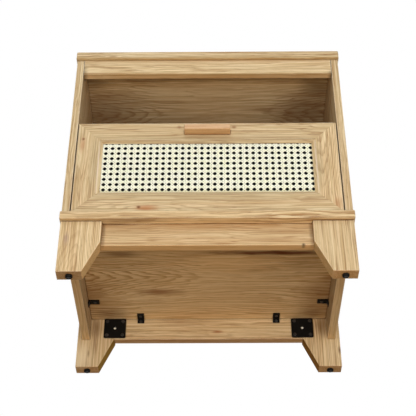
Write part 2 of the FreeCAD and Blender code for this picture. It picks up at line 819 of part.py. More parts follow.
for kind, shape in (("leg", make_leg()), ("plate", make_plate()), ("bracket", corner_bracket)):
    for corner, copy in zip(corner_names, four_corners(shape)):
        pieces[corner + "_" + kind] = [copy]
for name in pieces:
    pieces[name] = [drilled(pieces[name][0], cabinet_holes)]

frame_names = ("drawer_bottom_rail", "drawer_right_stile", "drawer_top_rail", "drawer_left_stile")
drawer_pieces = dict(zip(frame_names, make_front_frame()))
drawer_pieces["drawer_left_side"] = make_drawer_side()
drawer_pieces["drawer_right_side"] = other_side(make_drawer_side())
drawer_pieces["drawer_back"] = make_drawer_back()
drawer_pieces["pull_bar"] = make_pull()
drawer_pieces["left_slide_inner"] = make_slide_inner()
drawer_pieces["right_slide_inner"] = other_side(make_slide_inner())
for name, shape in drawer_pieces.items():
    pieces[name] = [drilled(shape, drawer_holes)]

cane_y = front_y + lip_thickness
pieces["cane_webbing"] = [make_cane()]
pieces["cane_backing"] = [panel_in_rebate(cane_y + cane_thickness, backing_thickness)]
pieces["cane_strips"] = make_strips()
pieces["drawer_bottom"] = [make_drawer_bottom()]
pieces["left_slide_middle"] = [make_slide_middle()]
pieces["right_slide_middle"] = [other_side(make_slide_middle())]
pieces["left_outer_ball_cage"] = make_outer_cage()
pieces["right_outer_ball_cage"] = [other_side(solid) for solid in make_outer_cage()]
pieces["left_inner_ball_cage"] = make_inner_cage()
pieces["right_inner_ball_cage"] = [other_side(solid) for solid in make_inner_cage()]
pieces["foot_glides"] = four_corners(glide)
pieces["plate_screws"] = [copy for screw in plate_screws for copy in four_corners(screw)]
pieces["bracket_screws"] = ([copy for screw in corner_screws for copy in four_corners(screw)]
                            + [copy for screw in side_screws for copy in both_sides(screw)])
pieces["wood_dowels"] = dowels
pieces["cam_bolts"] = cam_bolts
pieces["cam_locks"] = cam_locks
pieces["cabinet_slide_screws"] = slide_cabinet_screws
pieces["drawer_slide_screws"] = slide_drawer_screws
pieces["drawer_cam_bolts"] = drawer_bolts
pieces["drawer_cam_locks"] = drawer_cams
pieces["drawer_back_screws"] = drawer_back_screws
pieces["pull_screws"] = both_sides(pull_screw)

os.makedirs("parts", exist_ok=True)
for name, solids in pieces.items():
    shape = solids[0] if len(solids) == 1 else Part.makeCompound(solids)
    shape.exportStep(os.path.join("parts", name + ".step"))
    print(name, len(shape.Solids), "solids, valid", shape.isValid(), "volume", round(shape.Volume))
print(len(pieces), "nodes")
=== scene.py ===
import json
import math

import bmesh
import bpy
from mathutils import Matrix, Vector


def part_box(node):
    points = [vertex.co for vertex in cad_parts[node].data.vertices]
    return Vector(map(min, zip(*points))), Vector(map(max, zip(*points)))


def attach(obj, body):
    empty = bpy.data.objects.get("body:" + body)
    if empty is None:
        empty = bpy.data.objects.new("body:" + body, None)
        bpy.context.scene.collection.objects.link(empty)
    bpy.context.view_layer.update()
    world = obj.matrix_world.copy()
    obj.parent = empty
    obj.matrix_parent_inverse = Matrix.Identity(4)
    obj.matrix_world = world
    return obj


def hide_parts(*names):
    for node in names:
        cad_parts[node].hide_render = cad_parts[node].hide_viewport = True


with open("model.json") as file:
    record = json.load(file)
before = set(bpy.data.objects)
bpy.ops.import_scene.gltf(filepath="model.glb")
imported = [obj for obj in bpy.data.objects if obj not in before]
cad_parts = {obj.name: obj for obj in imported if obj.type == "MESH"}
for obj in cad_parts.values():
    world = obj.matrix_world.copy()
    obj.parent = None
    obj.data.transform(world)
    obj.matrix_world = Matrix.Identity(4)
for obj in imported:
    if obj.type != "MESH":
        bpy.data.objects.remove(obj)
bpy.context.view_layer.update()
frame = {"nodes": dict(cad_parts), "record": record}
nodes = frame["nodes"]
scene = bpy.context.scene
scene.view_settings.view_transform = "Standard"


# small helpers for node trees

def paint(red, green, blue):  # a colour as picked on screen, 0 to 255, to the renderer's own scale
    scaled = [value / 255 for value in (red, green, blue)]
    linear = [v / 12.92 if v <= 0.04045 else ((v + 0.055) / 1.055) ** 2.4 for v in scaled]
    return (*linear, 1.0)


def wire(tree, value, socket):  # links a socket, or sets a plain value
    if isinstance(value, bpy.types.NodeSocket):
        tree.links.new(value, socket)
    else:
        socket.default_value = value


def mathStep(tree, operation, first, second=0.0, clamp=False):
    node = tree.nodes.new("ShaderNodeMath")
    node.operation = operation
    node.use_clamp = clamp
    wire(tree, first, node.inputs[0])
    wire(tree, second, node.inputs[1])
    return node.outputs[0]


def plus(tree, first, second):
    return mathStep(tree, "ADD", first, second)


def minus(tree, first, second):
    return mathStep(tree, "SUBTRACT", first, second)


def times(tree, first, second):
    return mathStep(tree, "MULTIPLY", first, second)


def apart(tree, first, second):  # how far one value lies from another, either way
    return mathStep(tree, "ABSOLUTE", minus(tree, first, second))


def vectorStep(tree, operation, first, second):
    node = tree.nodes.new("ShaderNodeVectorMath")
    node.operation = operation
    wire(tree, first, node.inputs[0])
    wire(tree, second, node.inputs["Scale" if operation == "SCALE" else 1])
    return node.outputs["Value" if operation == "DOT_PRODUCT" else "Vector"]


def lengthOf(tree, vector):
    return mathStep(tree, "SQRT", vectorStep(tree, "DOT_PRODUCT", vector, vector))


def splitAxes(tree, vector):
    node = tree.nodes.new("ShaderNodeSeparateXYZ")
    wire(tree, vector, node.inputs["Vector"])
    return node.outputs


def noiseAt(tree, place, perMetre, detail=2.0, rough=0.5):  # perMetre: ripples along each axis
    node = tree.nodes.new("ShaderNodeTexNoise")
    node.inputs["Scale"].default_value = 1.0
    node.inputs["Detail"].default_value = detail
    node.inputs["Roughness"].default_value = rough
    wire(tree, vectorStep(tree, "MULTIPLY", place, perMetre), node.inputs["Vector"])
    return node.outputs["Fac"]


def spread(tree, value, low, high, toLow=0.0, toHigh=1.0):  # a range of values onto another, smoothly
    node = tree.nodes.new("ShaderNodeMapRange")
    node.interpolation_type = "SMOOTHSTEP"
    for socket, number in zip(node.inputs[1:5], (low, high, toLow, toHigh)):
        socket.default_value = number
    wire(tree, value, node.inputs["Value"])
    return node.outputs["Result"]


def blendColour(tree, share, first, second):
    node = tree.nodes.new("ShaderNodeMix")
    node.data_type = "RGBA"
    wire(tree, share, node.inputs["Factor"])
    wire(tree, first, node.inputs["A"])
    wire(tree, second, node.inputs["B"])
    return node.outputs["Result"]


def newFinish(name):
    finish = bpy.data.materials.new(name)
    finish.use_nodes = True
    tree = finish.node_tree
    tree.nodes.clear()
    output = tree.nodes.new("ShaderNodeOutputMaterial")
    shader = tree.nodes.new("ShaderNodeBsdfPrincipled")
    tree.links.new(shader.outputs["BSDF"], output.inputs["Surface"])
    place = tree.nodes.new("ShaderNodeTexCoord").outputs["Object"]
    return finish, tree, shader, place


def facingOf(tree):  # the surface's own direction
    return tree.nodes.new("ShaderNodeNewGeometry").outputs["Normal"]


def roundedNormal(tree, radius):  # the surface's direction with its edges eased
    bevel = tree.nodes.new("ShaderNodeBevel")
    bevel.samples = 6
    bevel.inputs["Radius"].default_value = radius
    return bevel.outputs["Normal"]


def arrisHighlightShare(tree, normal, gain):  # painted highlight, partly edge wear: 1 along sharp edges, 0 on open faces
    away = minus(tree, 1.0, vectorStep(tree, "DOT_PRODUCT", normal, facingOf(tree)))
    return mathStep(tree, "MULTIPLY", away, gain, clamp=True)


def creviceShadeShare(tree, reach, low, high):  # painted shade: 1 deep in seams and gaps, 0 on open faces
    shade = tree.nodes.new("ShaderNodeAmbientOcclusion")
    shade.samples = 8
    shade.inputs["Distance"].default_value = reach
    return spread(tree, minus(tree, 1.0, shade.outputs["AO"]), low, high)


def bumpOn(tree, shader, height, distance, strength, normal=None):
    bump = tree.nodes.new("ShaderNodeBump")
    bump.inputs["Distance"].default_value = distance
    bump.inputs["Strength"].default_value = strength
    wire(tree, height, bump.inputs["Height"])
    if normal:
        wire(tree, normal, bump.inputs["Normal"])
    wire(tree, bump.outputs["Normal"], shader.inputs["Normal"])


def dress(node, finish):  # a CAD node's own material slots take the finish
    for held in nodes[node].material_slots:
        held.material = finish


# oak figure: growth rings along a board's middle line, bent into flames, with streaks, fibres and pores

oakLook = {
    "pale": (229, 209, 169),
    "honey": (197, 168, 124),
    "rose": (208, 168, 129),
    "grey": (191, 172, 132),
    "ring": (146, 104, 60),
    "pore": (112, 76, 44),
    # pale arrises: a painted highlight, partly edge wear
    "edge": (250, 240, 216),
    # colour of the painted shade in seams and gaps
    "seamShadow": (70, 42, 22),
    "ringsPerMetre": 105.0,    # on a wide board; narrow ones have finer figure
    "wander": 6.0,             # how many rings the figure swings across the board
    "wobble": 2.2,             # how many rings it shakes in short ripples
    "wave": 0.016,             # metres that the streaks wave across the grain
    "middleWave": 0.03,        # the same for the middle line
    "turnRadius": 0.015,       # metres over which rings turn at the middle line
    "flameHalf": (0.03, 0.1),  # metres from the middle line where flames start to fade, and end
    "edgeRadius": 0.0013,
    "edgeGain": 50.0,
    "seamReach": 0.004,
    "seamShade": (0.12, 0.5),  # how shut in a spot is where the painted seam shade begins, and is full
    "slantFrom": (0.4, 0.6),   # how far sideways a face looks where it begins to slant
    "slantTo": (0.96, 0.99),   # and where it counts as upright again
    "markFade": (0.5, 1.6),    # half sizes from a mark's middle where it begins to fade, and ends
    "markRagged": 0.9,
    "bendReach": 4.0,          # half sizes from a knot over which rings bend round it
    "gloss": 0.06,
    "roughness": (0.42, 0.16),  # least, and what a dark streak adds
    "relief": 0.00012,
    "fibreHeight": 0.3,        # as a share of a pore's depth
    "shares": {                # how much each layer tells
        "streak": 1.7, "broad": 0.2, "fibre": 0.6, "honey": (0.82, 1.64),
        "rose": 0.18, "grey": 0.18, "ring": 0.72, "pore": 0.5, "poreOffRing": 0.25},
    "ripples": {               # per metre along the grain, and across it both ways
        "wave": (5.0, 13.0, 13.0),
        "wander": (2.0, 11.0, 11.0),
        "wobble": (8.0, 60.0, 60.0),
        "ringFade": (3.0, 40.0, 40.0),
        "streak": (3.5, 340.0, 340.0),
        "lineBreak": (8.0, 110.0, 110.0),
        "line": (2.2, 240.0, 240.0),
        "fibre": (10.0, 520.0, 520.0),
        "pore": (70.0, 620.0, 620.0),
        "broad": (1.6, 14.0, 14.0),
        "rose": (3.5, 70.0, 70.0),
        "grey": (4.0, 85.0, 85.0),
        "markEdge": (30.0, 260.0, 260.0),
    },
}
oakInks = ("pale", "honey", "rose", "grey", "ring", "pore")
oakNumbers = ("strength", "rings", "middle", "flame", "plainMiddle", "plainHalf", "swirl", "lines", "sway")


def addSockets(tree, kind, names, inOut="INPUT"):
    for name in names:
        tree.interface.new_socket(name, in_out=inOut, socket_type=kind)


def makeOakGroup():
    tree = bpy.data.node_groups.new("oakFigure", "ShaderNodeTree")
    addSockets(tree, "NodeSocketVector", ("place", "board"))
    addSockets(tree, "NodeSocketColor", oakInks)
    addSockets(tree, "NodeSocketFloat", oakNumbers)
    addSockets(tree, "NodeSocketColor", ("colour",), "OUTPUT")
    addSockets(tree, "NodeSocketFloat", ("roughness", "height"), "OUTPUT")
    given = tree.nodes.new("NodeGroupInput").outputs
    ripples, shares = oakLook["ripples"], oakLook["shares"]

    # the whole figure waves a little across the grain
    wave = minus(tree, noiseAt(tree, given["place"], ripples["wave"]), 0.5)
    wave = times(tree, wave, given["sway"])
    shove = vectorStep(tree, "SCALE", (0.0, oakLook["wave"], oakLook["wave"]), wave)
    place = vectorStep(tree, "ADD", given["place"], shove)

    def ripple(name, detail=2.0, rough=0.5):
        return noiseAt(tree, place, ripples[name], detail, rough)

    # rings lie beside the middle line, turn there in a curve, and run out over it as flames
    along = vectorStep(tree, "DOT_PRODUCT", given["board"], (1.0, 0.0, 0.0))
    across = minus(tree, vectorStep(tree, "DOT_PRODUCT", given["board"], (0.0, 1.0, 1.0)), given["middle"])
    across = plus(tree, across, times(tree, wave, oakLook["middleWave"]))
    aside = mathStep(tree, "SQRT", plus(tree, times(tree, across, across), oakLook["turnRadius"] ** 2))
    phase = times(tree, aside, given["rings"])
    past = minus(tree, apart(tree, along, given["plainMiddle"]), given["plainHalf"])
    inFlame = times(tree, spread(tree, aside, *oakLook["flameHalf"], 1.0, 0.0), given["flame"])
    phase = minus(tree, phase, times(tree, inFlame, mathStep(tree, "MAXIMUM", past, 0.0)))
    phase = plus(tree, phase, times(tree, ripple("wander", 1.0, 0.35), oakLook["wander"]))
    phase = plus(tree, phase, times(tree, ripple("wobble", 3.0, 0.6), oakLook["wobble"]))
    phase = plus(tree, phase, given["swirl"])

    # each ring darkens slowly and ends sharply, fades in places, and is bold in a flame
    saw = mathStep(tree, "FRACT", phase)
    ring = times(tree, spread(tree, saw, 0.4, 0.87), spread(tree, saw, 0.88, 1.0, 1.0, 0.0))
    fade = spread(tree, ripple("ringFade"), 0.34, 0.66, 0.2, 0.9)
    bold = times(tree, inFlame, spread(tree, past, -0.01, 0.03, 0.0, 0.034))
    ring = times(tree, ring, mathStep(tree, "MAXIMUM", fade, plus(tree, bold, 0.1)))
    ring = times(tree, ring, given["strength"])

    streak = ripple("streak", 1.5)
    line = spread(tree, apart(tree, ripple("line", 1.0), 0.5), 0.0, 0.075, 1.0, 0.0)
    line = times(tree, line, spread(tree, ripple("lineBreak"), 0.36, 0.58))
    fibre = ripple("fibre")
    pore = spread(tree, ripple("pore"), 0.56, 0.7)
    pore = times(tree, pore, plus(tree, shares["poreOffRing"], ring))
    rose = spread(tree, ripple("rose", 3.0), 0.5, 0.7)
    grey = spread(tree, ripple("grey", 3.0), 0.52, 0.7)

    tone = times(tree, streak, shares["streak"])
    tone = plus(tree, tone, times(tree, ripple("broad"), shares["broad"]))
    tone = plus(tree, tone, times(tree, fibre, shares["fibre"]))
    colour = blendColour(tree, spread(tree, tone, *shares["honey"]), given["pale"], given["honey"])
    layers = ((rose, shares["rose"], "rose"), (grey, shares["grey"], "grey"), (ring, shares["ring"], "ring"),
              (line, given["lines"], "ring"), (pore, shares["pore"], "pore"))
    for where, share, ink in layers:
        colour = blendColour(tree, times(tree, where, share), colour, given[ink])
    least, more = oakLook["roughness"]
    result = tree.nodes.new("NodeGroupOutput").inputs
    wire(tree, colour, result["colour"])
    wire(tree, plus(tree, least, times(tree, streak, more)), result["roughness"])
    wire(tree, minus(tree, times(tree, fibre, oakLook["fibreHeight"]), pore), result["height"])
    return tree


oakGroup = makeOakGroup()
grainTurn = {"x": (0, 0, 0), "y": (0, 0, -math.pi / 2), "z": (0, math.pi / 2, 0)}
frontLow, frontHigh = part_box("drawer_left_stile")[0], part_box("drawer_right_stile")[1]


def offMitre(tree, place):  # 0 along the mitres of the drawer's front, 1 elsewhere
    axes = splitAxes(tree, place)
    fromSide = minus(tree, frontHigh.x, mathStep(tree, "ABSOLUTE", axes["X"]))
    fromLevel = apart(tree, axes["Z"], (frontLow.z + frontHigh.z) / 2)
    fromEnd = minus(tree, (frontHigh.z - frontLow.z) / 2, fromLevel)
    return spread(tree, apart(tree, fromSide, fromEnd), 0.003, 0.006)


# what a board's cut may say beside its grain and where in the figure it is cut from
usualCut = {
    "middle": 0.0,         # the figure's middle line, across the grain
    "flame": 0.0,          # rings that run out per metre, beyond the tips
    "tips": (-9.0, 9.0),   # where flames begin, along the grain
    "fine": 1.0,           # narrows the figure
    "bold": 1.0,           # darkens its rings
    "lines": 0.52,         # darkens its thin lines
    "sway": 1.0,           # how much it waves
    "tone": 1.0,           # lightens the board
    "edge": 0.75,          # painted highlight and wear on the arrises
    "seamShadow": 0.8,           # painted shade in seams and gaps
    "mitred": False,       # no pale line where two pieces of the drawer's front meet
    "paintedSlant": None,         # colour and strength of painted light and shade on a leg's slanting side, which has no gloss
    "marks": (),           # knots, stains, painted shade and painted light: middle, half size, colour, strength, rings bent round it
}


def oakFinish(name, cut, look, strength=1.0):
    cut = {**usualCut, **cut}
    finish, tree, shader, place = newFinish(name)
    turned = tree.nodes.new("ShaderNodeMapping")
    turned.inputs["Rotation"].default_value = grainTurn[cut["grain"]]
    wire(tree, place, turned.inputs["Vector"])
    board = turned.outputs["Vector"]
    figure = tree.nodes.new("ShaderNodeGroup")
    figure.node_tree = oakGroup
    wire(tree, board, figure.inputs["board"])
    finer = 0.7 + 0.3 * cut["fine"]  # streaks narrow less than rings
    scaled = vectorStep(tree, "MULTIPLY", board, (1.0, finer, finer))
    wire(tree, vectorStep(tree, "ADD", scaled, cut["from"]), figure.inputs["place"])
    for ink in oakInks:
        lightened = (min(250, value * cut["tone"]) for value in look[ink])
        figure.inputs[ink].default_value = paint(*lightened)
    figure.inputs["strength"].default_value = strength * cut["bold"]
    figure.inputs["rings"].default_value = oakLook["ringsPerMetre"] * cut["fine"]
    left, right = cut["tips"]
    figure.inputs["plainMiddle"].default_value = (left + right) / 2
    figure.inputs["plainHalf"].default_value = (right - left) / 2
    for key in ("middle", "flame", "lines", "sway"):
        figure.inputs[key].default_value = cut[key]
    colour = figure.outputs["colour"]

    # pale arrises: a painted highlight, partly edge wear
    eased = roundedNormal(tree, oakLook["edgeRadius"])
    edge = times(tree, arrisHighlightShare(tree, eased, oakLook["edgeGain"]), cut["edge"])
    if cut["mitred"]:
        edge = times(tree, edge, offMitre(tree, place))
    # painted shade in seams and gaps, from ambient occlusion; it dims the pale arrises there
    seamShadow = creviceShadeShare(tree, oakLook["seamReach"], *oakLook["seamShade"])
    edge = times(tree, edge, minus(tree, 1.0, seamShadow))
    colour = blendColour(tree, edge, colour, paint(*oakLook["edge"]))
    colour = blendColour(tree, times(tree, seamShadow, cut["seamShadow"]), colour, paint(*oakLook["seamShadow"]))

    shader.inputs["Specular IOR Level"].default_value = oakLook["gloss"]
    # painted light and shade on a leg's slanting sides, picked out by which way a face looks
    if cut["paintedSlant"]:
        ink, share = cut["paintedSlant"]
        sideways = mathStep(tree, "ABSOLUTE", vectorStep(tree, "DOT_PRODUCT", facingOf(tree), (1.0, 0.0, 0.0)))
        slantPaintShare = spread(tree, sideways, *oakLook["slantFrom"], 0.0, share)
        slantPaintShare = times(tree, slantPaintShare, spread(tree, sideways, *oakLook["slantTo"], 1.0, 0.0))
        colour = blendColour(tree, slantPaintShare, colour, paint(*ink))
        gloss = spread(tree, sideways, *oakLook["slantFrom"], oakLook["gloss"], 0.0)
        wire(tree, gloss, shader.inputs["Specular IOR Level"])

    swirl = 0.0
    for middle, size, ink, share, *bend in cut["marks"]:
        away = vectorStep(tree, "DIVIDE", vectorStep(tree, "SUBTRACT", place, middle), size)
        away = lengthOf(tree, away)
        rough = noiseAt(tree, board, oakLook["ripples"]["markEdge"])
        ragged = plus(tree, away, times(tree, rough, oakLook["markRagged"]))
        colour = blendColour(tree, spread(tree, ragged, *oakLook["markFade"], share, 0.0), colour, paint(*ink))
        for turns in bend:
            swirl = plus(tree, swirl, spread(tree, away, 0.0, oakLook["bendReach"], turns, 0.0))
    wire(tree, swirl, figure.inputs["swirl"])
    wire(tree, colour, shader.inputs["Base Color"])
    wire(tree, figure.outputs["roughness"], shader.inputs["Roughness"])
    bumpOn(tree, shader, figure.outputs["height"], oakLook["relief"], strength=0.6, normal=eased)
    return finish


# carcass, legs and drawer front
# painted shade and painted light, which soft lamps don't give, are marked here too, beside the knots and stains

frontY = frontLow.y
topFrontY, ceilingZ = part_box("top_board")[0].yz
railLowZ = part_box("top_front_rail")[0].z
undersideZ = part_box("base_board")[0].z
rearFaceY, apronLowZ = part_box("rear_apron")[0].yz
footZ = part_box("rear_left_leg")[0].z


def footShade(x, y, ink=(206, 146, 80)):  # painted shade under a foot
    return ((x, y, footZ), (0.1, 0.1, 0.0012), ink, 0.5)


def plateHoleLight(side):  # painted light on the wood behind the hole of a joining plate
    return ((side * 0.199, rearFaceY, 0.0965), (0.007, 0.007, 0.007), (255, 250, 232), 1.0)


